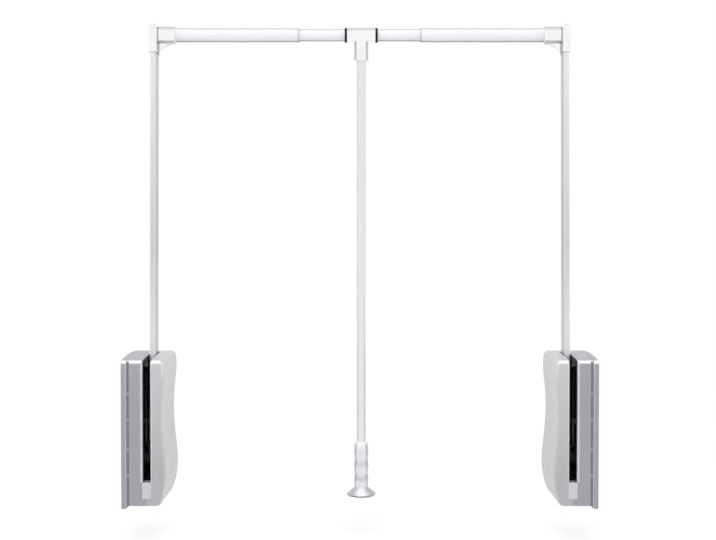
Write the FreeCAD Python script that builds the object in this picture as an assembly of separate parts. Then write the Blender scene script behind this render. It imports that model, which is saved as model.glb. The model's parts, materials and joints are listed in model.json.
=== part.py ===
"""Pull down closet rod: two wall housings, two swinging arms and a telescopic rail with a pull pole.

Row frame in millimetres: +X from the left wall to the right wall, -Y towards the user, +Z up.
The origin lies below the centre of the object, level with the foot of the two base trays.
Everything at the left wall is modelled in the side frame (u, v, z): u is the distance from the
wall, v the distance behind the housings' front face. The right side is its mirror image.
"""
import FreeCAD, Part
import math
import os

Vector = FreeCAD.Vector
X_AXIS = Vector(1, 0, 0)
Y_AXIS = Vector(0, 1, 0)
Z_AXIS = Vector(0, 0, 1)

# ---------------------------------------------------------------- overall
OVERALL_WIDTH = 815.0          # wall face to wall face as drawn
HOUSING_DEPTH = 145.0
HOUSING_HEIGHT = 260.2         # at the crown of the arched top
TOP_ARCH_RADIUS = 680.0
TOP_CROWN_INSET = 50.0         # crown in front of the housings' rear
RUN_GAP = 0.05                 # radial gap of a pin, rivet or spigot in its hole
SLIDE_GAP = 0.1                # gap beside a sliding face
SEAT_GAP = 0.3                 # gap between a moving piece and the pad it rests on
CUT_PAST = 1.0                 # how far a cut runs past the face it opens
FINE = 0.01                    # closest distance that counts as touching

# ---------------------------------------------------------------- base tray
TRAY_THICKNESS = 9.0
TRAY_WALL = 3.0
TRAY_EDGE = 1.0
TRAY_FOOT_ROUND = 3.0
NECK_INSET = 5.0
NECK_WALL = 2.5
NECK_END_U = 22.0
WALL_SCREW_RADIUS = 2.6
WALL_SCREW_INSET_V = 20.5      # from the tray's front and rear
WALL_SCREW_INSET_FOOT = 31.0
WALL_SCREW_INSET_TOP = 37.2

# ---------------------------------------------------------------- cover
COVER_SEAM = 0.3               # between the tray's flange and the cover's edge
REBATE_WIDTH = 4.4             # shadow groove along the cover's edge, front and rear
REBATE_DEPTH = 1.4
COVER_WALL = 2.5
COVER_FOOT_Z = 5.5
COVER_FOOT_U = 64.5            # inner side face at the foot
COVER_BELLY = ((31.0, 72.6), (62.0, 75.3), (104.0, 71.8))            # (height, u) up from the foot
COVER_WAIST = ((102.2, 68.5), (59.2, 70.9), (30.2, 73.5))            # (drop, u) down from the top
COVER_TOP_U = 70.3             # inner side face at the top corner
TOP_FRONT_ROUND = 8.5
TOP_REAR_ROUND = 5.0
TOP_SIDE_ROUND = 8.5
FRONT_SIDE_ROUND = 8.0
REAR_SIDE_ROUND = 4.0
MIN_ROUND = 2.0                # smaller inner rounds are left sharp
TAB_HEIGHTS = (58.0, 102.0, 153.0, 197.5)
TAB_HEIGHT = 4.0
TAB_RECESS = 0.5               # tab face behind the cover's front face

# ---------------------------------------------------------------- slot, bumper and stop pad
SLOT_WIDTH = 13.0
SLOT_FOOT_Z = 20.0
SLOT_REAR_V = 100.0
SLOT_RIB_WALL = 1.5
SLOT_RIB_DEPTH = 8.0
SLOT_LIP_ROUND = 2.4
BUMPER_WIDTH = 16.5
BUMPER_FOOT_Z = 16.5
BUMPER_TOP_Z = 45.5
BUMPER_FACE_THICKNESS = 1.0
BUMPER_STEM_DEPTH = 22.0
BUMPER_ROUND = 0.8
STOP_PAD_HEIGHT = 10.0
STOP_PAD_TOP_DROP = 0.4

# ---------------------------------------------------------------- arm
PIVOT_V = 71.0
PIVOT_Z = 74.0
ARM_CENTRE_U = 43.5
ARM_WIDTH = 10.0
ARM_DEPTH = 36.0
ARM_WALL = 1.5
ARM_CORNER = 2.0
ARM_LEAN_DEG = 2.0
LIFT_RANGE_DEG = 100.0
FOOT_LENGTH = 34.0
TONGUE_END = 92.0
ARM_RIVET_RADIUS = 2.5
ARM_RIVET_HEAD_RADIUS = 4.5
ARM_RIVET_HEAD = 0.8
ARM_RIVET_PLACES = (50.0, 76.0)

# ---------------------------------------------------------------- sector gear and rack
GEAR_MODULE = 2.5
GEAR_TEETH = 20
PRESSURE_ANGLE = math.radians(20.0)
DEDENDUM_FACTOR = 1.25
BACKLASH = 0.4
TOOTH_LAP = 1.0                # how far a tooth runs into the sector's disc
SECTOR_FIRST_TOOTH = -7
SECTOR_LAST_TOOTH = 1
GEAR_INNER_U = 19.0
GEAR_WIDTH = 12.0
HUB_BOSS_RADIUS = 16.0
RACK_BACK = 14.0               # from the pitch line to the rack's back
RACK_END_MARGIN = 2.0

# ---------------------------------------------------------------- pivot
PIN_RADIUS = 6.0
PIN_TAIL_RADIUS = 4.0
BUSH_WALL = 1.5
BUSH_LENGTH = 9.0
BUSH_FLANGE = 1.0
BUSH_FLANGE_RADIUS = 10.5
SPACER_RADIUS = 9.0
CIRCLIP_THICKNESS = 1.2
CIRCLIP_RADIUS = 8.5
CIRCLIP_GROOVE = 0.7
CIRCLIP_MOUTH = 5.0
PIN_END_LAND = 2.5

# ---------------------------------------------------------------- chassis
STEEL = 2.0
PLATE_INSET_V = 12.0           # wall plate from the tray's front and rear
PLATE_INSET_FOOT = 15.0
PLATE_INSET_TOP = 20.2
FRAME_TOP_DROP = 14.2          # frame top below the housing's crown
INNER_PLATE_U = 52.0
INNER_PLATE_REACH = 26.0       # bearing plate in front of the pivot
INNER_PLATE_DROP = 36.0        # bearing plate below the pivot
BEND_ROUND = 3.0
RIVET_RADIUS = 2.0
RIVET_HEAD_RADIUS = 4.0
RIVET_HEAD = 1.2
RIVET_INSET_FRONT = 12.0
RIVET_INSET_REAR = 6.0
RIVET_INSET_Z = 50.0
WINDOW_RADIUS = 17.0
WINDOW_ABOVE_PIVOT = 54.0
WINDOW_BELOW_TOP = 41.0
WINDOW_BEHIND_PIVOT = 10.0

# ---------------------------------------------------------------- rack guide and gas strut
GUIDE_WALL = 2.1
GUIDE_BACK = 6.0
GUIDE_BELOW_PIVOT = 36.0
GUIDE_ABOVE_PIVOT = 54.0
GUIDE_CHEEK_LAP = 11.0
GUIDE_PEG_INSET = 15.0
PEG_RADIUS = 2.5
ROD_RADIUS = 3.0
ROD_SEAT_DEPTH = 10.0
CYLINDER_RADIUS = 9.0
CYLINDER_WALL = 1.3
CYLINDER_END = 8.0
CYLINDER_EDGE = 1.0
STUD_RADIUS = 4.0
STUD_NECK = 8.0
STUD_IN_ANCHOR = 8.0
RACK_TO_CYLINDER = 6.0         # left between them when the arm is fully down
PISTON_LENGTH = 8.0
PISTON_GAP_Z = 5.0
ANCHOR_THICKNESS = 12.0
ANCHOR_WIDTH = 18.0
ANCHOR_ROUND = 8.0

# ---------------------------------------------------------------- corner connector and rail
RAIL_ABOVE_PIVOT = 748.8       # measured along the arm
OUTER_TUBE_RADIUS = 12.0
OUTER_TUBE_WALL = 1.2
OUTER_TUBE_END_X = 107.0       # inner end of each outer tube
SOCKET_WALL = 1.9
SOCKET_LENGTH = 48.4
SOCKET_TOP = 16.6              # above the rail's axis
SOCKET_ROOF = 5.0
SOCKET_ROUND = 3.0
SLEEVE_RADIUS = 15.25
SLEEVE_LENGTH = 31.2
SLEEVE_BORE_DEPTH = 26.0
SLEEVE_EDGE = 1.0
GUSSET_THICKNESS = 6.0
GUSSET_REACH = 28.0
GUSSET_SAG = 4.5
GUSSET_FOOT = 3.0
SCREW_RADIUS = 3.0
SCREW_HEAD_RADIUS = 6.5
SCREW_HEAD = 2.2
SCREW_HEAD_EDGE = 0.9
SCREW_DRIVE_RADIUS = 2.0
SCREW_DRIVE_DEPTH = 1.4
SCREW_BITE = 16.0
PLUG_LENGTH = 25.0

INNER_TUBE_RADIUS = 10.5
INNER_TUBE_WALL = 1.2
INNER_TUBE_HALF_LENGTH = 230.0
GLIDE_LENGTH = 14.0
GLIDE_FLANGE = 2.0

# ---------------------------------------------------------------- tee, pole and grip
TEE_OFFSET_X = 2.5
TEE_RADIUS = 12.9
TEE_HALF_LENGTH = 29.0
TEE_BORE_RADIUS = 11.6
BUSHING_FLANGE = 4.0
BUSHING_SPIGOT = 12.0
TEE_SOCKET_RADIUS = 12.6
TEE_SOCKET_REACH = 45.5        # below the rail's axis
TEE_SOCKET_ROOF = 18.0
TEE_BLEND = 3.0
TEE_EDGE = 0.8
TEE_SCREW_RADIUS = 2.5
TEE_SCREW_DROP = 34.0
POLE_RADIUS = 8.5
POLE_WALL = 1.2
GRIP_BASE_Z = 3.3
GRIP_RIM_HEIGHT = 3.2          # widest line of the flared foot above its flat underside
GRIP_RIM_ROUND = 1.9
GRIP_FLARE_HEIGHT = 12.0
GRIP_RIM_RADIUS = 25.8
GRIP_NECK_RADIUS = 11.8
GRIP_BULGE_RADIUS = 12.8
GRIP_BULGE_LENGTHS = (23.7, 25.7, 29.6)
GRIP_SHOULDER = 2.2
GRIP_SPIGOT = 14.0

# ---------------------------------------------------------------- derived places
COVER_EDGE_U = TRAY_THICKNESS + COVER_SEAM
TOP_CROWN_V = HOUSING_DEPTH - TOP_CROWN_INSET
SLOT_LOW_U = ARM_CENTRE_U - SLOT_WIDTH / 2
SLOT_HIGH_U = ARM_CENTRE_U + SLOT_WIDTH / 2
ARM_LOW_U = ARM_CENTRE_U - ARM_WIDTH / 2
ARM_HIGH_U = ARM_CENTRE_U + ARM_WIDTH / 2
LEAN = math.radians(ARM_LEAN_DEG)
PITCH_RADIUS = GEAR_MODULE * GEAR_TEETH / 2
ADDENDUM = GEAR_MODULE
DEDENDUM = DEDENDUM_FACTOR * GEAR_MODULE
TOOTH_PITCH = math.pi * GEAR_MODULE
TOOTH_HALF = (TOOTH_PITCH / 2 - BACKLASH / 2) / 2
GEAR_OUTER_U = GEAR_INNER_U + GEAR_WIDTH
GEAR_CENTRE_U = GEAR_INNER_U + GEAR_WIDTH / 2
RACK_PITCH_V = PIVOT_V + PITCH_RADIUS
RACK_ROOT_V = RACK_PITCH_V + DEDENDUM
RACK_BACK_V = RACK_PITCH_V + RACK_BACK
RACK_FOOT_Z = PIVOT_Z + (SECTOR_FIRST_TOOTH + 0.5) * TOOTH_PITCH - TOOTH_PITCH / 2 - RACK_END_MARGIN
RACK_TOP_Z = PIVOT_Z + (SECTOR_LAST_TOOTH + 0.5) * TOOTH_PITCH + TOOTH_PITCH / 2 + RACK_END_MARGIN
RACK_TRAVEL = PITCH_RADIUS * math.radians(LIFT_RANGE_DEG)
ROD_V = (RACK_ROOT_V + RACK_BACK_V) / 2
GUIDE_FOOT_Z = PIVOT_Z - GUIDE_BELOW_PIVOT
GUIDE_TOP_Z = PIVOT_Z + GUIDE_ABOVE_PIVOT
WEB_FRONT_V = RACK_BACK_V + GUIDE_BACK
PLATE_TOP_Z = HOUSING_HEIGHT - PLATE_INSET_TOP
FRAME_TOP_Z = HOUSING_HEIGHT - FRAME_TOP_DROP
CYLINDER_FOOT_Z = RACK_TOP_Z + RACK_TRAVEL + RACK_TO_CYLINDER
CYLINDER_TOP_Z = FRAME_TOP_Z - ANCHOR_THICKNESS - STUD_NECK
STUD_TOP_Z = CYLINDER_TOP_Z + STUD_NECK + STUD_IN_ANCHOR
WALL_PLATE_U = TRAY_WALL + STEEL
FRAME_OUTER_U = INNER_PLATE_U + STEEL
SOCKET_HALF_WIDTH = ARM_WIDTH / 2 + SOCKET_WALL
SOCKET_HALF_DEPTH = ARM_DEPTH / 2 + SOCKET_WALL
SOCKET_TOP_S = RAIL_ABOVE_PIVOT + SOCKET_TOP
SOCKET_FOOT_S = SOCKET_TOP_S - SOCKET_LENGTH
ARM_TOP_S = SOCKET_TOP_S - SOCKET_ROOF - RUN_GAP
SLEEVE_END_X = SOCKET_HALF_WIDTH + SLEEVE_LENGTH       # from the arm's centre plane
TUBE_SEAT_X = SLEEVE_END_X - SLEEVE_BORE_DEPTH
OUTER_TUBE_BORE = OUTER_TUBE_RADIUS - OUTER_TUBE_WALL
RAIL_Y = PIVOT_V + RAIL_ABOVE_PIVOT * math.sin(LEAN) - HOUSING_DEPTH / 2
RAIL_Z = PIVOT_Z + RAIL_ABOVE_PIVOT * math.cos(LEAN)
FLARE_TOP_Z = GRIP_BASE_Z + GRIP_RIM_HEIGHT + GRIP_FLARE_HEIGHT


# ---------------------------------------------------------------- helpers
def box(u0, u1, v0, v1, z0, z1):
    """Upright box between two corners."""
    return Part.makeBox(u1 - u0, v1 - v0, z1 - z0, Vector(u0, v0, z0))


def rod_x(radius, u0, u1, v=0.0, z=0.0):
    """Cylinder along X."""
    return Part.makeCylinder(radius, u1 - u0, Vector(u0, v, z), X_AXIS)


def rod_y(radius, v0, v1, u=0.0, z=0.0):
    """Cylinder along Y."""
    return Part.makeCylinder(radius, v1 - v0, Vector(u, v0, z), Y_AXIS)


def rod_z(radius, z0, z1, u=0.0, v=0.0):
    """Cylinder along Z."""
    return Part.makeCylinder(radius, z1 - z0, Vector(u, v, z0), Z_AXIS)


def fuse(first, *others):
    """One clean solid out of several touching ones."""
    return first.fuse(list(others)).removeSplitter()


def edges_where(shape, test):
    """The edges whose middle point passes the test."""
    found = []
    for edge in shape.Edges:
        middle = edge.valueAt((edge.FirstParameter + edge.LastParameter) / 2)
        if test(edge, middle):
            found.append(edge)
    return found


def runs_along(edge, axis):
    """True for a straight edge parallel to the axis."""
    if not isinstance(edge.Curve, Part.Line):
        return False
    ends = edge.Vertexes[-1].Point - edge.Vertexes[0].Point
    return abs(abs(ends.dot(axis)) - ends.Length) < 1e-6


def near(value, target):
    """Equal within the finest distance that counts."""
    return abs(value - target) < FINE


def rounded_bar(half_x, half_y, z0, z1, corner):
    """Rectangular bar along Z with rounded long edges."""
    bar = box(-half_x, half_x, -half_y, half_y, z0, z1)
    return bar.makeFillet(corner, edges_where(bar, lambda e, m: runs_along(e, Z_AXIS)))


def top_height(v, inset):
    """Height of the arched top at a depth."""
    radius = TOP_ARCH_RADIUS - inset
    return HOUSING_HEIGHT - TOP_ARCH_RADIUS + math.sqrt(radius ** 2 - (v - TOP_CROWN_V) ** 2)


def under_arch(shape, inset, u0, u1):
    """The part of a shape below the arched top."""
    arch = rod_x(TOP_ARCH_RADIUS - inset, u0, u1, TOP_CROWN_V, HOUSING_HEIGHT - TOP_ARCH_RADIUS)
    return shape.common(arch)


def side_outline(inset, foot_z, u0, u1):
    """Slab with the housings' side view as outline, inset all round."""
    low_v = inset
    high_v = HOUSING_DEPTH - inset
    low_z = foot_z + inset
    slab = box(u0, u1, low_v, high_v, low_z, HOUSING_HEIGHT - inset)
    slab = under_arch(slab, inset, u0, u1)
    corners = (
        (low_v, top_height(low_v, inset), TOP_FRONT_ROUND - inset),
        (high_v, top_height(high_v, inset), TOP_REAR_ROUND - inset),
        (low_v, low_z, TRAY_FOOT_ROUND - inset),
        (high_v, low_z, TRAY_FOOT_ROUND - inset),
    )
    for v, z, radius in corners:
        if radius >= MIN_ROUND:
            corner = edges_where(slab, lambda e, m: runs_along(e, X_AXIS) and near(m.y, v) and near(m.z, z))
            slab = slab.makeFillet(radius, corner)
    return slab


def wall_screw_places():
    """(v, z) centres of the four wall screws."""
    columns = (WALL_SCREW_INSET_V, HOUSING_DEPTH - WALL_SCREW_INSET_V)
    rows = (WALL_SCREW_INSET_FOOT, HOUSING_HEIGHT - WALL_SCREW_INSET_TOP)
    return [(v, z) for v in columns for z in rows]


def chassis_rivet_places():
    """(v, z) centres of the two rivets through the wall plate."""
    front_v = PLATE_INSET_V + RIVET_INSET_FRONT
    rear_v = HOUSING_DEPTH - PLATE_INSET_V - RIVET_INSET_REAR
    return [(front_v, PLATE_TOP_Z - RIVET_INSET_Z), (rear_v, PLATE_INSET_FOOT + RIVET_INSET_Z)]


# ---------------------------------------------------------------- housing
def base_tray():
    """Wall tray: flange, floor with screw holes, and the neck inside the cover."""
    tray = side_outline(0.0, 0.0, 0.0, TRAY_THICKNESS)
    rim = edges_where(tray, lambda e, m: near(m.x, TRAY_THICKNESS))
    tray = tray.makeChamfer(TRAY_EDGE, rim)
    tray = tray.cut(side_outline(TRAY_WALL, 0.0, TRAY_WALL, TRAY_THICKNESS))
    neck = side_outline(NECK_INSET, COVER_FOOT_Z, TRAY_WALL, NECK_END_U)
    hollow = side_outline(NECK_INSET + NECK_WALL, COVER_FOOT_Z, TRAY_WALL, NECK_END_U)
    tray = fuse(tray, neck.cut(hollow))
    for v, z in wall_screw_places():
        tray = tray.cut(rod_x(WALL_SCREW_RADIUS, 0.0, TRAY_WALL, v, z))
    for v, z in chassis_rivet_places():
        tray = tray.cut(rod_x(RIVET_RADIUS + RUN_GAP, 0.0, TRAY_WALL, v, z))
    return tray


def cover_form(inset, open_u):
    """The cover's outer form, or with an inset the space inside it."""
    foot_z = COVER_FOOT_Z + inset
    top_z = HOUSING_HEIGHT - inset
    side = [Vector(COVER_FOOT_U - inset, inset, foot_z)]
    side += [Vector(u - inset, inset, height) for height, u in COVER_BELLY]
    side += [Vector(u - inset, inset, HOUSING_HEIGHT - drop) for drop, u in COVER_WAIST]
    side += [Vector(COVER_TOP_U - inset, inset, top_z)]
    curve = Part.BSplineCurve()
    curve.interpolate(side)
    foot = Vector(open_u, inset, foot_z)
    top = Vector(open_u, inset, top_z)
    edges = [
        Part.LineSegment(foot, side[0]).toShape(),
        curve.toShape(),
        Part.LineSegment(side[-1], top).toShape(),
        Part.LineSegment(top, foot).toShape(),
    ]
    form = Part.Face(Part.Wire(edges)).extrude(Vector(0, HOUSING_DEPTH - 2 * inset, 0))
    form = under_arch(form, inset, open_u, HOUSING_DEPTH)

    if TOP_SIDE_ROUND - inset >= MIN_ROUND:
        corner = edges_where(form, lambda e, m: near(m.z, top_height(m.y, inset)) and not near(m.x, open_u)
                             and abs(e.tangentAt(e.FirstParameter).y) > 0.5)
        form = form.makeFillet(TOP_SIDE_ROUND - inset, corner)
    for v, radius in ((inset, FRONT_SIDE_ROUND), (HOUSING_DEPTH - inset, REAR_SIDE_ROUND)):
        if radius - inset >= MIN_ROUND:
            rim = edges_where(form, lambda e, m: near(m.y, v) and not near(m.x, open_u)
                              and not near(m.z, foot_z))
            form = form.makeFillet(radius - inset, rim)
    return form


def cover():
    """Hollow moulded cover with the arm slot, its ribs, the bumper's seat and the snap tabs."""
    outer = cover_form(0.0, COVER_EDGE_U)
    shell = outer.cut(cover_form(COVER_WALL, COVER_EDGE_U - CUT_PAST))

    rib_low = SLOT_LOW_U - SLOT_RIB_WALL
    rib_high = SLOT_HIGH_U + SLOT_RIB_WALL
    band = outer.cut(cover_form(COVER_WALL + SLOT_RIB_DEPTH, COVER_EDGE_U - CUT_PAST))
    rib_block = box(rib_low, rib_high, 0.0, SLOT_REAR_V + SLOT_RIB_WALL, SLOT_FOOT_Z, HOUSING_HEIGHT)
    shell = fuse(shell, band.common(rib_block))
    slot_top = HOUSING_HEIGHT + CUT_PAST
    shell = shell.cut(box(SLOT_LOW_U, SLOT_HIGH_U, -CUT_PAST, SLOT_REAR_V, BUMPER_TOP_Z, slot_top))
    lips = edges_where(shell, lambda e, m: (near(m.x, SLOT_LOW_U) or near(m.x, SLOT_HIGH_U))
                       and m.z > BUMPER_TOP_Z and not outer.isInside(m, FINE, False)
                       and not near(m.y, SLOT_REAR_V))
    shell = shell.makeFillet(SLOT_LIP_ROUND, lips)
    shell = shell.cut(box(SLOT_LOW_U, SLOT_HIGH_U, -CUT_PAST, SLOT_REAR_V, SLOT_FOOT_Z, BUMPER_TOP_Z))

    seat_half = BUMPER_WIDTH / 2 + RUN_GAP
    shell = shell.cut(box(ARM_CENTRE_U - seat_half, ARM_CENTRE_U + seat_half, -CUT_PAST,
                          BUMPER_FACE_THICKNESS, BUMPER_FOOT_Z - RUN_GAP, BUMPER_TOP_Z + RUN_GAP))

    rebate_u = COVER_EDGE_U + REBATE_WIDTH
    for v0, v1 in ((-CUT_PAST, REBATE_DEPTH), (HOUSING_DEPTH - REBATE_DEPTH, HOUSING_DEPTH + CUT_PAST)):
        shell = shell.cut(box(TRAY_THICKNESS, rebate_u, v0, v1, 0.0, slot_top))

    tabs = []
    for z in TAB_HEIGHTS:
        low = z - TAB_HEIGHT / 2
        high = z + TAB_HEIGHT / 2
        front = (TAB_RECESS, NECK_INSET - RUN_GAP)
        rear = (HOUSING_DEPTH - NECK_INSET + RUN_GAP, HOUSING_DEPTH - TAB_RECESS)
        for v0, v1 in (front, rear):
            tabs.append(box(COVER_EDGE_U, rebate_u, v0, v1, low, high))
    return fuse(shell, *tabs)


def bumper():
    """T-shaped block in the foot of the slot."""
    half = BUMPER_WIDTH / 2
    face = box(ARM_CENTRE_U - half, ARM_CENTRE_U + half, 0.0, BUMPER_FACE_THICKNESS,
               BUMPER_FOOT_Z, BUMPER_TOP_Z)
    stem = box(SLOT_LOW_U + SLIDE_GAP, SLOT_HIGH_U - SLIDE_GAP, 0.0, BUMPER_STEM_DEPTH,
               SLOT_FOOT_Z + RUN_GAP, BUMPER_TOP_Z)
    block = fuse(face, stem)
    rim = edges_where(block, lambda e, m: near(m.y, 0.0))
    return block.makeFillet(BUMPER_ROUND, rim)


def stop_pad():
    """Buffer between the ribs at the rear end of the top slot."""
    top_z = HOUSING_HEIGHT - STOP_PAD_TOP_DROP
    arm_rear = PIVOT_V + ARM_DEPTH / 2 / math.cos(LEAN) + (top_z - PIVOT_Z) * math.tan(LEAN)
    return box(SLOT_LOW_U + SLIDE_GAP, SLOT_HIGH_U - SLIDE_GAP, arm_rear + SEAT_GAP, SLOT_REAR_V,
               top_z - STOP_PAD_HEIGHT, top_z)


# ---------------------------------------------------------------- chassis and pivot
def chassis():
    """Steel frame: wall plate, rear web and inner bearing plate."""
    plate = box(TRAY_WALL, WALL_PLATE_U, PLATE_INSET_V, HOUSING_DEPTH - PLATE_INSET_V,
                PLATE_INSET_FOOT, PLATE_TOP_Z)
    front_v = PIVOT_V - INNER_PLATE_REACH
    foot_z = PIVOT_Z - INNER_PLATE_DROP
    channel = box(TRAY_WALL, FRAME_OUTER_U, front_v, WEB_FRONT_V + STEEL, foot_z, FRAME_TOP_Z)
    outer_bend = edges_where(channel, lambda e, m: runs_along(e, Z_AXIS) and near(m.x, FRAME_OUTER_U)
                             and m.y > WEB_FRONT_V)
    channel = channel.makeFillet(BEND_ROUND, outer_bend)
    inside = box(TRAY_WALL, INNER_PLATE_U, front_v, WEB_FRONT_V, foot_z, FRAME_TOP_Z)
    inner_bend = edges_where(inside, lambda e, m: runs_along(e, Z_AXIS) and near(m.x, INNER_PLATE_U)
                             and near(m.y, WEB_FRONT_V))
    inside = inside.makeFillet(BEND_ROUND - STEEL, inner_bend)
    frame = fuse(plate, channel.cut(inside))

    window_v = PIVOT_V + WINDOW_BEHIND_PIVOT
    low_z = PIVOT_Z + WINDOW_ABOVE_PIVOT
    high_z = FRAME_TOP_Z - WINDOW_BELOW_TOP
    window = fuse(
        rod_x(WINDOW_RADIUS, INNER_PLATE_U, FRAME_OUTER_U, window_v, low_z),
        rod_x(WINDOW_RADIUS, INNER_PLATE_U, FRAME_OUTER_U, window_v, high_z),
        box(INNER_PLATE_U, FRAME_OUTER_U, window_v - WINDOW_RADIUS, window_v + WINDOW_RADIUS, low_z, high_z),
    )
    frame = frame.cut(window)
    frame = frame.cut(rod_x(PIN_TAIL_RADIUS, TRAY_WALL, WALL_PLATE_U, PIVOT_V, PIVOT_Z))
    frame = frame.cut(rod_x(PIN_RADIUS + RUN_GAP, INNER_PLATE_U, FRAME_OUTER_U, PIVOT_V, PIVOT_Z))
    for v, z in wall_screw_places():
        frame = frame.cut(rod_x(WALL_SCREW_RADIUS, TRAY_WALL, WALL_PLATE_U, v, z))
    for v, z in chassis_rivet_places():
        frame = frame.cut(rod_x(RIVET_RADIUS + RUN_GAP, TRAY_WALL, WALL_PLATE_U, v, z))
    for z in guide_peg_heights() + [anchor_peg_height()]:
        frame = frame.cut(rod_y(PEG_RADIUS + RUN_GAP, WEB_FRONT_V, WEB_FRONT_V + STEEL, GEAR_CENTRE_U, z))
    return frame


def chassis_rivets():
    """Two rivets through the wall plate and the tray's floor."""
    rivets = []
    for v, z in chassis_rivet_places():
        shank = rod_x(RIVET_RADIUS, 0.0, WALL_PLATE_U, v, z)
        head = rod_x(RIVET_HEAD_RADIUS, WALL_PLATE_U, WALL_PLATE_U + RIVET_HEAD, v, z)
        rivets.append(fuse(shank, head))
    return Part.makeCompound(rivets)


def pivot_pin():
    """Shouldered pin, riveted into the wall plate and grooved for its circlip."""
    end_u = FRAME_OUTER_U + RUN_GAP + CIRCLIP_THICKNESS + PIN_END_LAND
    tail = rod_x(PIN_TAIL_RADIUS, TRAY_WALL, WALL_PLATE_U, PIVOT_V, PIVOT_Z)
    body = rod_x(PIN_RADIUS, WALL_PLATE_U, end_u, PIVOT_V, PIVOT_Z)
    groove_u = FRAME_OUTER_U + RUN_GAP
    groove = rod_x(PIN_RADIUS, groove_u, groove_u + CIRCLIP_THICKNESS, PIVOT_V, PIVOT_Z)
    core = rod_x(PIN_RADIUS - CIRCLIP_GROOVE, groove_u, groove_u + CIRCLIP_THICKNESS, PIVOT_V, PIVOT_Z)
    return fuse(tail, body.cut(groove.cut(core)))


def pivot_circlip():
    """Open ring in the pin's groove."""
    u0 = FRAME_OUTER_U + RUN_GAP
    u1 = u0 + CIRCLIP_THICKNESS
    ring = rod_x(CIRCLIP_RADIUS, u0, u1, PIVOT_V, PIVOT_Z)
    ring = ring.cut(rod_x(PIN_RADIUS - CIRCLIP_GROOVE, u0, u1, PIVOT_V, PIVOT_Z))
    mouth = box(u0, u1, PIVOT_V - CIRCLIP_MOUTH / 2, PIVOT_V + CIRCLIP_MOUTH / 2,
                PIVOT_Z - CIRCLIP_RADIUS, PIVOT_Z)
    return ring.cut(mouth)


def hub_ends():
    """u of the two outer faces of the bushes' flanges."""
    return GEAR_INNER_U - BUSH_FLANGE, ARM_HIGH_U + BUSH_FLANGE


def pivot_spacers():
    """Nylon tubes on the pin at both sides of the hub."""
    low, high = hub_ends()
    spans = ((WALL_PLATE_U, low - SLIDE_GAP), (high + SLIDE_GAP, INNER_PLATE_U))
    tubes = []
    for u0, u1 in spans:
        tube = rod_x(SPACER_RADIUS, u0, u1, PIVOT_V, PIVOT_Z)
        tubes.append(tube.cut(rod_x(PIN_RADIUS + RUN_GAP, u0, u1, PIVOT_V, PIVOT_Z)))
    return Part.makeCompound(tubes)


# ---------------------------------------------------------------- sector gear and rack
def involute_half_angle(radius):
    """Half of a gear tooth's angle at a radius."""
    base = PITCH_RADIUS * math.cos(PRESSURE_ANGLE)
    slope = math.acos(min(1.0, base / radius))
    at_pitch = math.tan(PRESSURE_ANGLE) - PRESSURE_ANGLE
    return TOOTH_HALF / PITCH_RADIUS + at_pitch - (math.tan(slope) - slope)


def gear_tooth(index):
    """One tooth of the sector; its angle runs from +v towards +z."""
    centre = index * 2 * math.pi / GEAR_TEETH
    base = PITCH_RADIUS * math.cos(PRESSURE_ANGLE)
    tip = PITCH_RADIUS + ADDENDUM
    root = PITCH_RADIUS - DEDENDUM - TOOTH_LAP

    def point(radius, side):
        angle = centre + side * involute_half_angle(max(radius, base))
        return Vector(GEAR_INNER_U, PIVOT_V + radius * math.cos(angle), PIVOT_Z + radius * math.sin(angle))

    crown = Vector(GEAR_INNER_U, PIVOT_V + tip * math.cos(centre), PIVOT_Z + tip * math.sin(centre))
    edges = [
        Part.LineSegment(point(root, -1), point(base, -1)).toShape(),
        Part.Arc(point(base, -1), point(PITCH_RADIUS, -1), point(tip, -1)).toShape(),
        Part.Arc(point(tip, -1), crown, point(tip, 1)).toShape(),
        Part.Arc(point(tip, 1), point(PITCH_RADIUS, 1), point(base, 1)).toShape(),
        Part.LineSegment(point(base, 1), point(root, 1)).toShape(),
        Part.LineSegment(point(root, 1), point(root, -1)).toShape(),
    ]
    return Part.Face(Part.Wire(edges)).extrude(Vector(GEAR_WIDTH, 0, 0))


def rack():
    """Toothed bar behind the sector, bored for the piston rod."""
    low_u = GEAR_INNER_U + SLIDE_GAP
    high_u = GEAR_OUTER_U - SLIDE_GAP
    bar = box(low_u, high_u, RACK_ROOT_V, RACK_BACK_V, RACK_FOOT_Z, RACK_TOP_Z)
    lean = math.tan(PRESSURE_ANGLE)
    tip_half = TOOTH_HALF - ADDENDUM * lean
    root_half = TOOTH_HALF + DEDENDUM * lean
    teeth = []
    for index in range(SECTOR_FIRST_TOOTH, SECTOR_LAST_TOOTH + 1):
        z = PIVOT_Z + (index + 0.5) * TOOTH_PITCH
        outline = [
            Vector(low_u, RACK_ROOT_V, z - root_half),
            Vector(low_u, RACK_PITCH_V - ADDENDUM, z - tip_half),
            Vector(low_u, RACK_PITCH_V - ADDENDUM, z + tip_half),
            Vector(low_u, RACK_ROOT_V, z + root_half),
        ]
        tooth = Part.Face(Part.makePolygon(outline + outline[:1]))
        teeth.append(tooth.extrude(Vector(high_u - low_u, 0, 0)))
    bar = fuse(bar, *teeth)
    return bar.cut(rod_z(ROD_RADIUS + RUN_GAP, RACK_TOP_Z - ROD_SEAT_DEPTH, RACK_TOP_Z, GEAR_CENTRE_U, ROD_V))


def guide_peg_heights():
    """z of the two pegs that hold the rack guide to the web."""
    return [GUIDE_FOOT_Z + GUIDE_PEG_INSET, GUIDE_TOP_Z - GUIDE_PEG_INSET]


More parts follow.
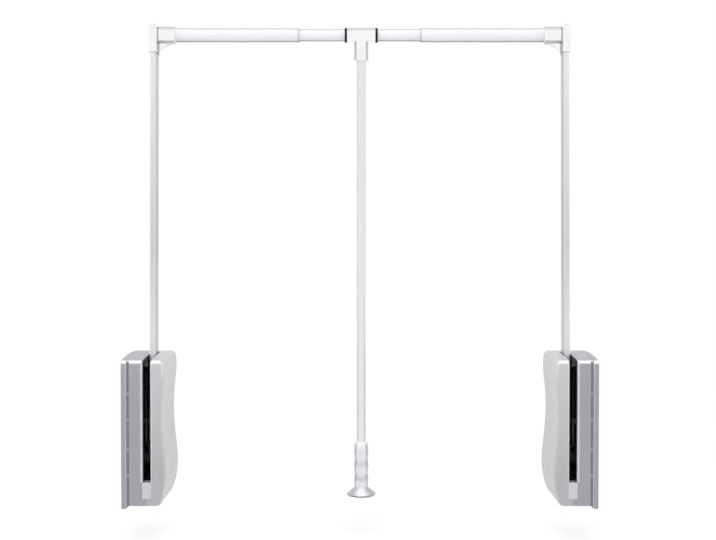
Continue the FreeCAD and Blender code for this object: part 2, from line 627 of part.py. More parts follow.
def rack_guide():
    """Nylon channel that backs the rack, pegged to the web."""
    low_u = GEAR_INNER_U - GUIDE_WALL
    high_u = GEAR_OUTER_U + GUIDE_WALL
    front_v = RACK_BACK_V - GUIDE_CHEEK_LAP + SLIDE_GAP
    channel = box(low_u, high_u, front_v, WEB_FRONT_V, GUIDE_FOOT_Z, GUIDE_TOP_Z)
    channel = channel.cut(box(GEAR_INNER_U, GEAR_OUTER_U, front_v, RACK_BACK_V + SLIDE_GAP,
                              GUIDE_FOOT_Z, GUIDE_TOP_Z))
    web_rear = WEB_FRONT_V + STEEL
    pegs = [rod_y(PEG_RADIUS, WEB_FRONT_V, web_rear, GEAR_CENTRE_U, z) for z in guide_peg_heights()]
    return fuse(channel, *pegs)


# ---------------------------------------------------------------- gas strut
def strut_cylinder():
    """Closed cylinder with its rod guide below and its stud above."""
    body = rod_z(CYLINDER_RADIUS, CYLINDER_FOOT_Z, CYLINDER_TOP_Z, GEAR_CENTRE_U, ROD_V)
    body = body.makeChamfer(CYLINDER_EDGE, edges_where(body, lambda e, m: isinstance(e.Curve, Part.Circle)))
    stud = rod_z(STUD_RADIUS, CYLINDER_TOP_Z - CYLINDER_WALL, STUD_TOP_Z, GEAR_CENTRE_U, ROD_V)
    hollow = rod_z(CYLINDER_RADIUS - CYLINDER_WALL, CYLINDER_FOOT_Z + CYLINDER_END,
                   CYLINDER_TOP_Z - CYLINDER_WALL * 2, GEAR_CENTRE_U, ROD_V)
    gland = rod_z(ROD_RADIUS + RUN_GAP, CYLINDER_FOOT_Z, CYLINDER_FOOT_Z + CYLINDER_END, GEAR_CENTRE_U, ROD_V)
    return fuse(body, stud).cut(hollow).cut(gland)


def strut_rod():
    """Piston rod seated in the rack, with the piston inside the cylinder."""
    piston_foot = CYLINDER_FOOT_Z + CYLINDER_END + PISTON_GAP_Z
    rod = rod_z(ROD_RADIUS, RACK_TOP_Z - ROD_SEAT_DEPTH, piston_foot + PISTON_LENGTH, GEAR_CENTRE_U, ROD_V)
    piston = rod_z(CYLINDER_RADIUS - CYLINDER_WALL - RUN_GAP, piston_foot, piston_foot + PISTON_LENGTH,
                   GEAR_CENTRE_U, ROD_V)
    return fuse(rod, piston)


def anchor_peg_height():
    """z of the anchor's peg."""
    return FRAME_TOP_Z - ANCHOR_THICKNESS / 2


def strut_anchor():
    """Block on the web that takes the cylinder's stud."""
    half = ANCHOR_WIDTH / 2
    block = box(GEAR_CENTRE_U - half, GEAR_CENTRE_U + half, ROD_V - half, WEB_FRONT_V,
                FRAME_TOP_Z - ANCHOR_THICKNESS, FRAME_TOP_Z)
    front = edges_where(block, lambda e, m: runs_along(e, Z_AXIS) and near(m.y, ROD_V - half))
    block = block.makeFillet(ANCHOR_ROUND, front)
    peg = rod_y(PEG_RADIUS, WEB_FRONT_V, WEB_FRONT_V + STEEL, GEAR_CENTRE_U, anchor_peg_height())
    bore = rod_z(STUD_RADIUS + RUN_GAP, FRAME_TOP_Z - ANCHOR_THICKNESS, STUD_TOP_Z, GEAR_CENTRE_U, ROD_V)
    return fuse(block, peg).cut(bore)


# ---------------------------------------------------------------- arm
def lean(shape):
    """Take a shape from the arm's own frame (pivot at the origin, +Z along the arm) to its place."""
    placed = shape.copy()
    placed.rotate(Vector(0, 0, 0), X_AXIS, -ARM_LEAN_DEG)
    placed.translate(Vector(ARM_CENTRE_U, PIVOT_V, PIVOT_Z))
    return placed


def rivet_hole(radius):
    """Cylinders across the arm at both rivets, in the arm's frame."""
    half = ARM_WIDTH / 2
    return [rod_x(radius, -half, half, 0.0, s) for s in ARM_RIVET_PLACES]


def arm_hub():
    """Cast hub: toothed sector, boss, round foot and the tongue inside the arm tube."""
    disc = rod_x(PITCH_RADIUS - DEDENDUM, GEAR_INNER_U, GEAR_OUTER_U, PIVOT_V, PIVOT_Z)
    teeth = [gear_tooth(index) for index in range(SECTOR_FIRST_TOOTH, SECTOR_LAST_TOOTH + 1)]
    boss = rod_x(HUB_BOSS_RADIUS, GEAR_OUTER_U, ARM_LOW_U, PIVOT_V, PIVOT_Z)
    half = ARM_WIDTH / 2
    foot = rod_x(ARM_DEPTH / 2, -half, half)
    shank = box(-half, half, -ARM_DEPTH / 2, ARM_DEPTH / 2, 0.0, FOOT_LENGTH)
    tongue_x = half - ARM_WALL - RUN_GAP
    tongue_y = ARM_DEPTH / 2 - ARM_WALL - RUN_GAP
    tongue = box(-tongue_x, tongue_x, -tongue_y, tongue_y, FOOT_LENGTH, TONGUE_END)
    arm_end = fuse(foot, shank, tongue)
    for hole in rivet_hole(ARM_RIVET_RADIUS + RUN_GAP):
        arm_end = arm_end.cut(hole)
    hub = fuse(disc, *teeth, boss, lean(arm_end))
    bore = rod_x(PIN_RADIUS + RUN_GAP + BUSH_WALL, GEAR_INNER_U, ARM_HIGH_U, PIVOT_V, PIVOT_Z)
    return hub.cut(bore)


def hub_bushes():
    """Two flanged bushes pressed into the hub's ends."""
    low, high = hub_ends()
    outer = PIN_RADIUS + RUN_GAP + BUSH_WALL
    bushes = []
    for face, direction in ((low, 1), (high, -1)):
        flange = sorted((face, face + direction * BUSH_FLANGE))
        barrel = sorted((face, face + direction * (BUSH_FLANGE + BUSH_LENGTH)))
        bush = fuse(rod_x(BUSH_FLANGE_RADIUS, flange[0], flange[1], PIVOT_V, PIVOT_Z),
                    rod_x(outer, barrel[0], barrel[1], PIVOT_V, PIVOT_Z))
        bushes.append(bush.cut(rod_x(PIN_RADIUS + RUN_GAP, barrel[0], barrel[1], PIVOT_V, PIVOT_Z)))
    return Part.makeCompound(bushes)


def arm_rivets():
    """Low-headed rivets through the arm tube and the hub's tongue."""
    half = ARM_WIDTH / 2
    rivets = []
    for s in ARM_RIVET_PLACES:
        rivets.append(fuse(
            rod_x(ARM_RIVET_RADIUS, -half, half, 0.0, s),
            rod_x(ARM_RIVET_HEAD_RADIUS, -half - ARM_RIVET_HEAD, -half, 0.0, s),
            rod_x(ARM_RIVET_HEAD_RADIUS, half, half + ARM_RIVET_HEAD, 0.0, s),
        ))
    return lean(Part.makeCompound(rivets))


def arm_tube():
    """Flat rectangular tube from the hub's foot to the corner connector."""
    half_x = ARM_WIDTH / 2
    half_y = ARM_DEPTH / 2
    tube = rounded_bar(half_x, half_y, FOOT_LENGTH, ARM_TOP_S, ARM_CORNER)
    bore_x = half_x - ARM_WALL
    bore_y = half_y - ARM_WALL
    bore = box(-bore_x, bore_x, -bore_y, bore_y, FOOT_LENGTH, ARM_TOP_S)
    tube = tube.cut(bore)
    for hole in rivet_hole(ARM_RIVET_RADIUS + RUN_GAP):
        tube = tube.cut(hole)
    tube = tube.cut(rod_x(SCREW_RADIUS + RUN_GAP, -half_x, half_x, 0.0, RAIL_ABOVE_PIVOT))
    return lean(tube)


# ---------------------------------------------------------------- corner connector
def gusset():
    """Curved web between the sleeve's underside and the socket's foot, in the arm's frame."""
    under = RAIL_ABOVE_PIVOT - SLEEVE_RADIUS
    half = GUSSET_THICKNESS / 2
    start = Vector(SOCKET_HALF_WIDTH + GUSSET_REACH, -half, under)
    end = Vector(SOCKET_HALF_WIDTH + GUSSET_FOOT, -half, SOCKET_FOOT_S)
    chord = end - start
    across = Vector(-chord.z, 0, chord.x).normalize()
    if across.z < 0:
        across = across * -1
    middle = (start + end) * 0.5 + across * GUSSET_SAG
    inner_foot = Vector(SOCKET_HALF_WIDTH - SOCKET_WALL / 2, -half, SOCKET_FOOT_S)
    inner_top = Vector(inner_foot.x, -half, RAIL_ABOVE_PIVOT)
    outer_top = Vector(start.x, -half, RAIL_ABOVE_PIVOT)
    edges = [
        Part.Arc(start, middle, end).toShape(),
        Part.LineSegment(end, inner_foot).toShape(),
        Part.LineSegment(inner_foot, inner_top).toShape(),
        Part.LineSegment(inner_top, outer_top).toShape(),
        Part.LineSegment(outer_top, start).toShape(),
    ]
    return Part.Face(Part.Wire(edges)).extrude(Vector(0, GUSSET_THICKNESS, 0))


def corner_connector():
    """Cast corner: upright socket over the arm, horizontal sleeve for the rail, gusset."""
    socket = box(-SOCKET_HALF_WIDTH, SOCKET_HALF_WIDTH, -SOCKET_HALF_DEPTH, SOCKET_HALF_DEPTH,
                 SOCKET_FOOT_S, SOCKET_TOP_S)
    rims = edges_where(socket, lambda e, m: runs_along(e, Z_AXIS) or near(m.z, SOCKET_TOP_S))
    socket = socket.makeFillet(SOCKET_ROUND, rims)
    sleeve = rod_x(SLEEVE_RADIUS, 0.0, SLEEVE_END_X, 0.0, RAIL_ABOVE_PIVOT)
    mouth = edges_where(sleeve, lambda e, m: isinstance(e.Curve, Part.Circle) and near(m.x, SLEEVE_END_X))
    sleeve = sleeve.makeChamfer(SLEEVE_EDGE, mouth)
    body = fuse(socket, sleeve, gusset())
    cavity = rounded_bar(ARM_WIDTH / 2 + RUN_GAP, ARM_DEPTH / 2 + RUN_GAP, SOCKET_FOOT_S,
                         SOCKET_TOP_S - SOCKET_ROOF, ARM_CORNER)
    body = body.cut(cavity)
    body = body.cut(rod_x(OUTER_TUBE_RADIUS + RUN_GAP, TUBE_SEAT_X, SLEEVE_END_X, 0.0, RAIL_ABOVE_PIVOT))
    body = body.cut(rod_x(SCREW_RADIUS + RUN_GAP, -SOCKET_HALF_WIDTH, TUBE_SEAT_X, 0.0, RAIL_ABOVE_PIVOT))
    return lean(body)


def connector_screw():
    """Washer-head screw along the rail's axis."""
    crown_x = -SOCKET_HALF_WIDTH - SCREW_HEAD
    head = rod_x(SCREW_HEAD_RADIUS, crown_x, -SOCKET_HALF_WIDTH, 0.0, RAIL_ABOVE_PIVOT)
    crown = edges_where(head, lambda e, m: isinstance(e.Curve, Part.Circle) and near(m.x, crown_x))
    head = head.makeChamfer(SCREW_HEAD_EDGE, crown)
    shank = rod_x(SCREW_RADIUS, -SOCKET_HALF_WIDTH, TUBE_SEAT_X + SCREW_BITE, 0.0, RAIL_ABOVE_PIVOT)
    drive = Part.makePolygon([
        Vector(crown_x,
               SCREW_DRIVE_RADIUS * math.cos(math.radians(60 * k)),
               RAIL_ABOVE_PIVOT + SCREW_DRIVE_RADIUS * math.sin(math.radians(60 * k)))
        for k in range(7)
    ])
    hexagon = Part.Face(drive).extrude(Vector(SCREW_DRIVE_DEPTH, 0, 0))
    return lean(fuse(head, shank).cut(hexagon))


def outer_tube():
    """Outer tube of the telescopic rail."""
    end_x = OVERALL_WIDTH / 2 - ARM_CENTRE_U - OUTER_TUBE_END_X
    tube = rod_x(OUTER_TUBE_RADIUS, TUBE_SEAT_X, end_x, 0.0, RAIL_ABOVE_PIVOT)
    return lean(tube.cut(rod_x(OUTER_TUBE_BORE, TUBE_SEAT_X, end_x, 0.0, RAIL_ABOVE_PIVOT)))


def bar_plug():
    """Threaded plug in the outer tube's end."""
    plug = rod_x(OUTER_TUBE_BORE, TUBE_SEAT_X, TUBE_SEAT_X + PLUG_LENGTH, 0.0, RAIL_ABOVE_PIVOT)
    hole = rod_x(SCREW_RADIUS, TUBE_SEAT_X, TUBE_SEAT_X + SCREW_BITE, 0.0, RAIL_ABOVE_PIVOT)
    return lean(plug.cut(hole))


# ---------------------------------------------------------------- telescopic centre and pull pole
def on_rail(shape, x=0.0):
    """Take a shape modelled about the origin to the rail's axis."""
    placed = shape.copy()
    placed.translate(Vector(x, RAIL_Y, RAIL_Z))
    return placed


def inner_tube():
    """Inner tube of the telescopic rail."""
    half = INNER_TUBE_HALF_LENGTH
    tube = rod_x(INNER_TUBE_RADIUS, -half, half)
    return on_rail(tube.cut(rod_x(INNER_TUBE_RADIUS - INNER_TUBE_WALL, -half, half)))


def inner_tube_glides():
    """Plastic glides: a flange that runs in the outer tube and a spigot in the inner tube."""
    half = INNER_TUBE_HALF_LENGTH
    flange = rod_x(OUTER_TUBE_BORE - RUN_GAP, half, half + GLIDE_FLANGE)
    spigot = rod_x(INNER_TUBE_RADIUS - INNER_TUBE_WALL, half - GLIDE_LENGTH, half)
    bore = rod_x(INNER_TUBE_RADIUS / 2, half - GLIDE_LENGTH, half + GLIDE_FLANGE)
    glide = fuse(flange, spigot).cut(bore)
    return on_rail(Part.makeCompound([glide, glide.mirror(Vector(0, 0, 0), X_AXIS)]))


def tee_connector():
    """Cast T: horizontal barrel on the inner tube and a socket for the pole."""
    half = TEE_HALF_LENGTH - BUSHING_FLANGE
    barrel = rod_x(TEE_RADIUS, -half, half)
    socket = rod_z(TEE_SOCKET_RADIUS, -TEE_SOCKET_REACH, 0.0)
    mouth = edges_where(socket, lambda e, m: near(m.z, -TEE_SOCKET_REACH))
    body = fuse(barrel, socket.makeFillet(TEE_EDGE, mouth))
    seam = edges_where(body, lambda e, m: isinstance(e.Curve, Part.BSplineCurve))
    body = body.makeFillet(TEE_BLEND, seam)
    body = body.cut(rod_x(TEE_BORE_RADIUS, -half, half))
    body = body.cut(rod_z(POLE_RADIUS + RUN_GAP, -TEE_SOCKET_REACH, -TEE_SOCKET_ROOF))
    body = body.cut(rod_y(TEE_SCREW_RADIUS + RUN_GAP, 0.0, TEE_SOCKET_RADIUS, 0.0, -TEE_SCREW_DROP))
    return on_rail(body, TEE_OFFSET_X)


def tee_bushings():
    """Black flanged bushings that turn on the inner tube."""
    inner = INNER_TUBE_RADIUS + SLIDE_GAP
    face = TEE_HALF_LENGTH - BUSHING_FLANGE
    flange = rod_x(TEE_RADIUS, face, TEE_HALF_LENGTH)
    spigot = rod_x(TEE_BORE_RADIUS, face - BUSHING_SPIGOT, face)
    bushing = fuse(flange, spigot).cut(rod_x(inner, face - BUSHING_SPIGOT, TEE_HALF_LENGTH))
    return on_rail(Part.makeCompound([bushing, bushing.mirror(Vector(0, 0, 0), X_AXIS)]), TEE_OFFSET_X)


def tee_screw():
    """Set screw at the rear of the T's socket."""
    screw = rod_y(TEE_SCREW_RADIUS, POLE_RADIUS + RUN_GAP, TEE_SOCKET_RADIUS, 0.0, -TEE_SCREW_DROP)
    screw = screw.cut(rod_y(TEE_SCREW_RADIUS / 2, TEE_SOCKET_RADIUS - TEE_SCREW_RADIUS, TEE_SOCKET_RADIUS,
                            0.0, -TEE_SCREW_DROP))
    return on_rail(screw, TEE_OFFSET_X)


def at_pole(shape):
    """Take a shape modelled about a vertical axis at the origin to the pole's axis."""
    placed = shape.copy()
    placed.translate(Vector(TEE_OFFSET_X, RAIL_Y, 0.0))
    return placed


def pole():
    """Pull pole from the T down into the grip."""
    top = RAIL_Z - TEE_SOCKET_ROOF
    tube = rod_z(POLE_RADIUS, FLARE_TOP_Z, top)
    return at_pole(tube.cut(rod_z(POLE_RADIUS - POLE_WALL, FLARE_TOP_Z, top)))


def grip():
    """Hand grip with three soft bulges."""
    foot = FLARE_TOP_Z
    inner = POLE_RADIUS + RUN_GAP
    edges = [Part.LineSegment(Vector(inner, 0, foot), Vector(GRIP_NECK_RADIUS, 0, foot)).toShape()]
    low = foot
    for length in GRIP_BULGE_LENGTHS:
        edges.append(Part.Arc(
            Vector(GRIP_NECK_RADIUS, 0, low),
            Vector(GRIP_BULGE_RADIUS, 0, low + length / 2),
            Vector(GRIP_NECK_RADIUS, 0, low + length),
        ).toShape())
        low += length
    top = low + GRIP_SHOULDER
    neck = Vector(GRIP_NECK_RADIUS, 0, low)
    shoulder = Vector(GRIP_NECK_RADIUS - GRIP_SHOULDER, 0, top)
    edges.append(Part.LineSegment(neck, shoulder).toShape())
    edges.append(Part.LineSegment(shoulder, Vector(inner, 0, top)).toShape())
    edges.append(Part.LineSegment(Vector(inner, 0, top), Vector(inner, 0, foot)).toShape())
    return at_pole(Part.Face(Part.Wire(edges)).revolve(Vector(0, 0, 0), Z_AXIS, 360))


def grip_base():
    """Flared foot under the grip, with a spigot inside the pole."""
    spigot = POLE_RADIUS - POLE_WALL - RUN_GAP
    spigot_top = FLARE_TOP_Z + GRIP_SPIGOT
    rim = GRIP_RIM_RADIUS + GRIP_RIM_ROUND / 2
    outline = [
        Vector(0, 0, GRIP_BASE_Z),
        Vector(rim - GRIP_RIM_HEIGHT, 0, GRIP_BASE_Z),
        Vector(rim, 0, GRIP_BASE_Z + GRIP_RIM_HEIGHT),
        Vector(GRIP_NECK_RADIUS, 0, FLARE_TOP_Z),
        Vector(spigot, 0, FLARE_TOP_Z),
        Vector(spigot, 0, spigot_top),
        Vector(0, 0, spigot_top),
    ]
    base = Part.Face(Part.makePolygon(outline + outline[:1])).revolve(Vector(0, 0, 0), Z_AXIS, 360)
    widest = edges_where(base, lambda e, m: near(m.z, GRIP_BASE_Z + GRIP_RIM_HEIGHT))
    return at_pole(base.makeFillet(GRIP_RIM_ROUND, widest))


# ---------------------------------------------------------------- export
SIDE_PARTS = (
    base_tray, cover, chassis, chassis_rivets, bumper, stop_pad,
    pivot_pin, pivot_circlip, pivot_spacers, rack_guide, strut_cylinder, strut_anchor,
    rack, strut_rod,
    arm_hub, hub_bushes, arm_rivets, arm_tube,
    corner_connector, connector_screw, outer_tube, bar_plug,
)
CENTRE_PARTS = (
    inner_tube, inner_tube_glides, tee_connector, tee_bushings, tee_screw, pole, grip, grip_base,
)


def write(name, shape):
    """Check one sub-part and write it as STEP."""
    if not shape.isValid():
        raise ValueError(name + " is not a valid shape")
    shape.exportStep("parts/" + name + ".step")


def main():
    os.makedirs("parts", exist_ok=True)
    for make in SIDE_PARTS:
        left = make()
        left.translate(Vector(-OVERALL_WIDTH / 2, -HOUSING_DEPTH / 2, 0))
        write("left_" + make.__name__, left)
        write("right_" + make.__name__, left.mirror(Vector(0, 0, 0), X_AXIS))
    for make in CENTRE_PARTS:
        write(make.__name__, make())


main()
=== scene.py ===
import json
import math

import bpy
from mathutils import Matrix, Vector

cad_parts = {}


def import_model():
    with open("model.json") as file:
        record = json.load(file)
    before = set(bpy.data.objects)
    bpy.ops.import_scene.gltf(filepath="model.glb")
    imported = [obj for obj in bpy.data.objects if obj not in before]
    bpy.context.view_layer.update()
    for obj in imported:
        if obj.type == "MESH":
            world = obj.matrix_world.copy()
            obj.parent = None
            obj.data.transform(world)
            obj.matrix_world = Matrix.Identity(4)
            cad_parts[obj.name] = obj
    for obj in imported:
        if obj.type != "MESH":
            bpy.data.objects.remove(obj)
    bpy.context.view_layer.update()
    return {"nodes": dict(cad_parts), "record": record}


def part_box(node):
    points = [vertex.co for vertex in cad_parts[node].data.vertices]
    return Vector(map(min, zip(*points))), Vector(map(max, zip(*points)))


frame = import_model()
MM = 0.001


# ---------------------------------------------------------------- places at rest, from the frame
arm_low, arm_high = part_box("right_arm_tube")
cover_low, cover_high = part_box("right_cover")
SLOT = (arm_low.x + arm_high.x) / 2              # centre plane of a housing's slot, from the middle plane
COVER_EDGE = cover_high.x                        # outer edge of the cover, from the middle plane
FRONT = cover_low.y                              # plane of the housings' front edges
CROWN = cover_high.z                             # top of the housings' arch
BUMPER_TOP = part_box("right_bumper")[1].z
RAIL_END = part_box("right_outer_tube")[0].x       # inner end of an outer tube, from the middle plane
GRIP_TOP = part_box("grip")[1].z
FOOT_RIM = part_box("grip_base")[0].z
TEE_REACH = 200.0 * MM                           # castings within this of the middle plane are the T

# Stretches, in mm. Outwards from the slot's centre plane:
OPENING = (-6.7, 7.2)
INNER_LIP = (-8.8, -6.5)
OUTER_LIP = (7.0, 10.5)
HALVES = (-4.0, 4.0)                             # where the inner half's paler painted light turns into the outer half's tone
SOCKET_SHADOW_LINE = (-9.4, -7.1)                       # painted shadow line on the corner connectors
PALE_SIDE = 2.0                                  # the slot's painted shade is paler from here on
# Outwards from the cover's outer edge:
GROOVE = (-4.6, -0.6)
RIM = (0.4, 1.6)
# Outwards from the inner end of an outer tube, for its painted shadow ring:
END_RING = (-0.5, 2.5)
# Back from the plane of the front edges:
FRONT_EDGES = 2.5
SLOT_DEPTH = (2.2, 142.0)
# Towards the front and the back, from the planes of the front and rear edges:
GROOVE_DEPTH = (-3.5, -1.0)
# Up from the housings' foot:
# the next two stretches paint light on the housings, paler upwards
PAINTED_LIGHT_FADE = (60.0, 250.0)
TOP_PAINTED_LIGHT = (170.0, 250.0)
# painted highlight on the housings' upper corners
CORNER_HIGHLIGHT = (215.0, 248.0)
PALE_FOOT = 96.0                                 # the slot's painted shade is paler up to here
# painted light on the arms, brighter towards their foot and head
ARM_FOOT_FADE = (300.0, 450.0)
ARM_HEAD_FADE = (450.0, 800.0)
# Up from the top of the arch, of the bumper and of the grip, and from the rim of the grip's foot:
SLOT_TOP = -2.8
LIPS_START = (-1.5, 2.5)
COLLAR = (-19.7, -7.7)
BULGES = (-69.7, -15.7)
FOOT_EDGE = (2.2, 4.7)

RAIL_PAINTED_SHADE = (0.22, 0.22, 0.25)                   # colour of the rail's painted shade lines and painted shadow rings


# ---------------------------------------------------------------- node shorthands
class Graph:
    """A node tree. A value is a number, a colour or the output of another node."""

    def __init__(self, tree):
        self.tree = tree

    def node(self, kind, **settings):
        made = self.tree.nodes.new(kind)
        for key, value in settings.items():
            setattr(made, key, value)
        return made

    def feed(self, socket, value):
        if isinstance(value, (tuple, list)):
            socket.default_value = (*value, 1.0)
        elif isinstance(value, (int, float)):
            socket.default_value = value
        else:
            self.tree.links.new(value, socket)

    def math(self, operation, *values):
        made = self.node("ShaderNodeMath", operation=operation)
        for socket, value in zip(made.inputs, values):
            self.feed(socket, value)
        return made.outputs["Value"]

    def times(self, first, *others):
        for other in others:
            first = self.math("MULTIPLY", first, other)
        return first

    def most(self, first, *others):
        for other in others:
            first = self.math("MAXIMUM", first, other)
        return first

    def spread(self, value, low, high, from_low=0.3, from_high=0.7, **settings):
        """From low to high while value goes from from_low to from_high, and no further."""
        made = self.node("ShaderNodeMapRange", clamp=True, **settings)
        made.inputs["From Min"].default_value = from_low
        made.inputs["From Max"].default_value = from_high
        made.inputs["To Min"].default_value = low
        made.inputs["To Max"].default_value = high
        self.feed(made.inputs["Value"], value)
        return made.outputs["Result"]

    def blend(self, share, first, second):
        """One shader turning into another."""
        made = self.node("ShaderNodeMixShader")
        for socket, value in zip(made.inputs, (share, first, second)):
            self.feed(socket, value)
        return made.outputs["Shader"]

    def seen_directly(self):
        """1 for what the camera sees, also in a reflection or through glass."""
        ray = self.node("ShaderNodeLightPath").outputs
        return self.most(ray["Is Camera Ray"], ray["Is Glossy Ray"], ray["Is Transmission Ray"])


class Shader(Graph):
    """A material with a Principled surface. Places and directions are those of the piece at rest."""

    def __init__(self, name, metallic=0.0, rough=0.5, specular=0.5, coat=0.0, coat_rough=0.2):
        self.material = bpy.data.materials.new(name)
        self.material.use_nodes = True
        super().__init__(self.material.node_tree)
        self.surface = self.tree.nodes["Principled BSDF"]
        self.surface.inputs["Metallic"].default_value = metallic
        self.surface.inputs["Roughness"].default_value = rough
        self.surface.inputs["Specular IOR Level"].default_value = specular
        self.surface.inputs["Coat Weight"].default_value = coat
        self.surface.inputs["Coat Roughness"].default_value = coat_rough
        self.place = self.node("ShaderNodeTexCoord").outputs["Object"]

    def noise(self, scale, detail=3.0, rough=0.55, stretch=(1, 1, 1)):
        place = self.node("ShaderNodeMapping")
        place.inputs["Scale"].default_value = stretch
        self.feed(place.inputs["Vector"], self.place)
        texture = self.node("ShaderNodeTexNoise")
        texture.inputs["Scale"].default_value = scale
        texture.inputs["Detail"].default_value = detail
        texture.inputs["Roughness"].default_value = rough
        self.feed(texture.inputs["Vector"], place.outputs["Vector"])
        return texture.outputs["Fac"]

    def mix(self, share, first, second):
        """One colour turning into another."""
        made = self.node("ShaderNodeMix", data_type="RGBA")
        sockets = (made.inputs["Factor"], made.inputs[6], made.inputs[7])
        for socket, value in zip(sockets, (share, first, second)):
            self.feed(socket, value)
        return made.outputs[2]

    def axes(self):
        parts = self.node("ShaderNodeSeparateXYZ")
        self.feed(parts.inputs["Vector"], self.place)
        return parts.outputs

    def away(self):
        """Distance from the object's middle plane."""
        return self.math("ABSOLUTE", self.axes()[0])

    def facing(self):
        """How far the surface faces right, back and up, each from -1 to 1."""
        parts = self.node("ShaderNodeSeparateXYZ")
        self.feed(parts.inputs["Vector"], self.node("ShaderNodeTexCoord").outputs["Normal"])
        return parts.outputs

    def sideways(self):
        """How far the surface faces either side, from 0 to 1."""
        return self.math("ABSOLUTE", self.facing()[0])

    def along(self, place, low, high, stretch, start=0.0):
        """From low to high over a stretch in mm from start."""
        return self.spread(place, low, high, start + stretch[0] * MM, start + stretch[1] * MM)

    def within(self, value, low, high, soft):
        """1 between two values, with soft ends."""
        rise = self.spread(value, 0.0, 1.0, low - soft, low + soft)
        fall = self.spread(value, 1.0, 0.0, high - soft, high + soft)
        return self.times(rise, fall)

    def band(self, place, stretch, start, soft):
        """1 on a stretch in mm from start, with soft ends in mm."""
        return self.within(place, start + stretch[0] * MM, start + stretch[1] * MM, soft * MM)

    def colour(self, value):
        self.feed(self.surface.inputs["Base Color"], value)

    def roughness(self, value):
        self.feed(self.surface.inputs["Roughness"], value)

    def bump(self, layers):
        """layers: (height, strength, distance) from coarse to fine."""
        last = None
        for height, strength, distance in layers:
            made = self.node("ShaderNodeBump")
            made.inputs["Strength"].default_value = strength
            made.inputs["Distance"].default_value = distance
            self.feed(made.inputs["Height"], height)
            if last is not None:
                self.feed(made.inputs["Normal"], last)
            last = made.outputs["Normal"]
        self.feed(self.surface.inputs["Normal"], last)


def tint(colour, factor):
    return tuple(min(1.0, channel * factor) for channel in colour)


# ---------------------------------------------------------------- kinds of material
def moulded(name, colour, rough, grain, specular=0.45, metallic=0.0, coat=0.0, details=None):
    """Moulded plastic: fine spark-eroded grain, slight flow shades and rubbed patches."""
    s = Shader(name, rough=rough, specular=specular, metallic=metallic, coat=coat, coat_rough=0.28)
    flow = s.noise(9.0, detail=2.0, stretch=(1, 1, 0.4))
    fine = s.noise(2600.0, detail=1.0)
    rub = s.noise(38.0, detail=4.0)
    body = s.mix(s.spread(flow, 0, 1), tint(colour, 0.95), tint(colour, 1.05))
    if details is not None:
        body = details(s, body)
    specks = s.times(s.spread(fine, 0, 1, 0.5, 0.75), 0.08)
    s.colour(s.mix(specks, body, (0.9, 0.9, 0.9)))
    s.roughness(s.spread(rub, rough - 0.05, rough + 0.06))
    s.bump([(s.noise(160.0, detail=2.0), 0.04, 0.0002), (fine, grain, 0.00004)])
    return s.material


def drawn_tube(name, colour, along, rough, metallic=1.0, details=None):
    """Anodised extrusion: very fine lines along it, faint bands and small rubs."""
    s = Shader(name, metallic=metallic, rough=rough)
    stretch = tuple(0.012 if axis == along else 1.0 for axis in "xyz")
    lines = s.noise(900.0, detail=2.0, stretch=stretch)
    cloud = s.noise(6.0, detail=3.0)
    body = s.mix(s.spread(lines, 0, 1, 0.25, 0.75), tint(colour, 0.96), tint(colour, 1.03))
    body = s.mix(s.spread(cloud, 0.0, 0.25), body, tint(colour, 0.94))
    if details is not None:
        body = details(s, body)
    s.colour(body)
    rub = s.noise(52.0, detail=5.0, rough=0.7)
    s.roughness(s.math("ADD", s.spread(lines, rough - 0.04, rough + 0.05), s.spread(rub, -0.03, 0.04)))
    s.bump([(lines, 0.05, 0.00002)])
    return s.material


def die_cast(name, colour, rough, details):
    """Polished casting: soft unevenness with tiny pits."""
    s = Shader(name, metallic=1.0, rough=rough)
    cloud = s.noise(24.0, detail=4.0)
    fine = s.noise(1500.0, detail=2.0)
    body = s.mix(s.spread(cloud, 0, 1), tint(colour, 0.96), tint(colour, 1.03))
    body = s.mix(s.spread(fine, 0.0, 0.3, 0.6, 0.8), body, tint(colour, 0.7))
    s.colour(details(s, body))
    s.roughness(s.spread(cloud, rough - 0.04, rough + 0.07))
    s.bump([(s.noise(120.0, detail=2.0), 0.03, 0.0002), (fine, 0.06, 0.00003)])
    return s.material


def plated(name, colour, rough):
    """Zinc plated steel with its cloudy passivation."""
    s = Shader(name, metallic=0.95, rough=rough)
    cells = s.node("ShaderNodeTexVoronoi")
    cells.inputs["Scale"].default_value = 210.0
    s.feed(cells.inputs["Vector"], s.place)
    cloud = s.noise(30.0, detail=5.0)
    body = s.mix(s.spread(cloud, 0, 1), tint(colour, 0.85), tint(colour, 1.08))
    body = s.mix(s.spread(cells.outputs["Distance"], 0.0, 0.2, 0.0, 0.6), body, tint(colour, 0.75))
    s.colour(body)
    s.roughness(s.spread(cloud, rough - 0.06, rough + 0.12))
    s.bump([(cloud, 0.05, 0.0001)])
    return s.material


# ---------------------------------------------------------------- shades on the pieces
def housing_painted_tones(s, body):
    """Painted light and shade on the lacquer: paler towards the top and on the inner half, mostly on its
    flank.
    """
    z = s.axes()[2]
    body = s.mix(s.along(z, 0.0, 0.12, TOP_PAINTED_LIGHT), body, (0.62, 0.62, 0.63))
    side = s.spread(s.sideways(), 0.0, 1.0, 0.5, 0.9)
    foot = s.mix(side, (0.475, 0.462, 0.472), (0.560, 0.548, 0.558))
    flow = s.spread(s.noise(9.0, detail=2.0, stretch=(1, 1, 0.4)), -0.05, 0.05)
    fade = s.math("ADD", s.along(z, 0.0, 1.0, PAINTED_LIGHT_FADE), flow)
    inner = s.along(s.away(), 1.0, 0.0, HALVES, SLOT)
    return s.mix(inner, body, s.mix(fade, foot, (0.610, 0.598, 0.606)))


